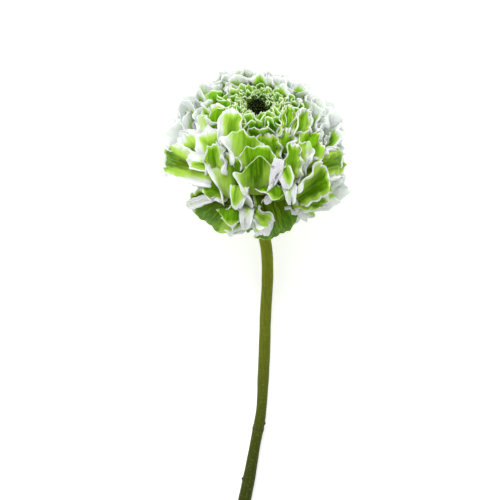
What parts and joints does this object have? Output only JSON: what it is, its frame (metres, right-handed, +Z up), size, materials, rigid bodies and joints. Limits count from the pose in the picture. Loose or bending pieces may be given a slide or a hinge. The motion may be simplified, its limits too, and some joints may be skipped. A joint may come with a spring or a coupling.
{
  "type": "ranunculus flower",
  "caption": "Cut ranunculus flower lying down: a ball of ruffled green petals with white edges round a dark eye, on a bowed green stem.",
  "frame": {"origin": "middle of the flower's footprint, on the surface it lies on", "axes": "+Z up; +Y along the flower, from the cut end of the stem to the bloom; +X to the right as the bloom's face is looked at"},
  "size_m": [0.0878, 0.2106, 0.0726],
  "materials": {
    "large_petals": "soft satin petal, green with a white edge",
    "heart_petals": "soft satin petal, fresh green with a pale edge",
    "eye": "dark, nearly black green",
    "calyx": "matt, finely haired green",
    "stem": "satin, finely ribbed green"
  },
  "bodies": {
    "root": {"large_petals": "large_petals", "heart_petals": "heart_petals", "eye": "eye", "calyx": "calyx", "stem": "stem"}
  },
  "joints": []
}
